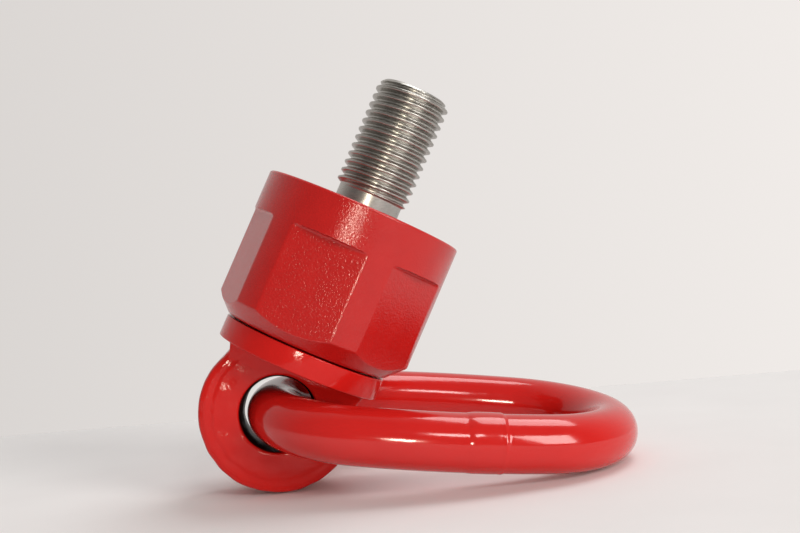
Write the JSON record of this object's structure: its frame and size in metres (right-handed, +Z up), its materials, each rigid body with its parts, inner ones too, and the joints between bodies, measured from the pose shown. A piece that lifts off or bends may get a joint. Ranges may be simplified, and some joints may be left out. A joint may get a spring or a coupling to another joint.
{
  "type": "swivel hoist ring",
  "caption": "Swivel hoist ring: threaded stud in a ball bearing housing with wrench flats, a forged eye that swivels on the stud's axis, and a welded oval load ring that swings in the eye.",
  "frame": {"origin": "on the table, under the middle of the bounding box of the hoist ring as it lies at rest on the rim of its eye and the far end of its load ring", "axes": "+Z up from the table; +X from the eye towards the far end of the load ring, which is the longest extent; +Y across the load ring, which is the shortest extent; the stud points up and leans 28.4 degrees towards +X"},
  "size_m": [0.1722, 0.1051, 0.157],
  "materials": {
    "coarse_red_paint": "semi-gloss powder coat with a coarse orange-peel grain",
    "red_paint": "glossy paint over a forging",
    "machined_steel": "bare machined steel",
    "dark_steel": "black oxide",
    "spring_steel": "phosphated spring steel",
    "bearing_steel": "ground and polished bearing steel",
    "rubber": "matt black nitrile rubber"
  },
  "bodies": {
    "housing_assembly": {"housing": "coarse_red_paint", "threaded_stud": "machined_steel", "stud_lock_pin": "dark_steel", "stud_retaining_ring": "spring_steel", "dust_seal": "rubber", "upper_ball_plug": "dark_steel", "lower_ball_plug": "dark_steel", "upper_set_screw": "dark_steel", "lower_set_screw": "dark_steel"},
    "swivel": {"swivel_eye": "red_paint"},
    "ring": {"load_ring": "red_paint"},
    "upper_ball_row": {"upper_ball_1": "bearing_steel", "upper_ball_2": "bearing_steel", "upper_ball_3": "bearing_steel", "upper_ball_4": "bearing_steel", "upper_ball_5": "bearing_steel", "upper_ball_6": "bearing_steel", "upper_ball_7": "bearing_steel", "upper_ball_8": "bearing_steel", "upper_ball_9": "bearing_steel", "upper_ball_10": "bearing_steel", "upper_ball_11": "bearing_steel", "upper_ball_12": "bearing_steel", "upper_ball_13": "bearing_steel", "upper_ball_14": "bearing_steel"},
    "lower_ball_row": {"lower_ball_1": "bearing_steel", "lower_ball_2": "bearing_steel", "lower_ball_3": "bearing_steel", "lower_ball_4": "bearing_steel", "lower_ball_5": "bearing_steel", "lower_ball_6": "bearing_steel", "lower_ball_7": "bearing_steel", "lower_ball_8": "bearing_steel", "lower_ball_9": "bearing_steel", "lower_ball_10": "bearing_steel", "lower_ball_11": "bearing_steel", "lower_ball_12": "bearing_steel", "lower_ball_13": "bearing_steel", "lower_ball_14": "bearing_steel"}
  },
  "joints": [
    {"name": "eye_swivel", "type": "hinge", "parent": "housing_assembly", "child": "swivel", "pos_m": [-0.0145, 0, 0.10603], "axis": [0.4758, 0, 0.8796], "continuous": true},
    {"name": "ring_swing", "type": "hinge", "parent": "swivel", "child": "ring", "pos_m": [-0.05537, 0, 0.03047], "axis": [0, 1, 0], "range_deg": [0, 220]},
    {"name": "upper_ball_orbit", "type": "hinge", "parent": "housing_assembly", "child": "upper_ball_row", "pos_m": [-0.0145, 0, 0.10603], "axis": [0.4758, 0, 0.8796], "continuous": true},
    {"name": "lower_ball_orbit", "type": "hinge", "parent": "housing_assembly", "child": "lower_ball_row", "pos_m": [-0.0145, 0, 0.10603], "axis": [0.4758, 0, 0.8796], "continuous": true}
  ],
  "couplings": [
    {"joint": "upper_ball_orbit", "follows": "eye_swivel", "ratio": 0.39605},
    {"joint": "lower_ball_orbit", "follows": "eye_swivel", "ratio": 0.39605}
  ]
}
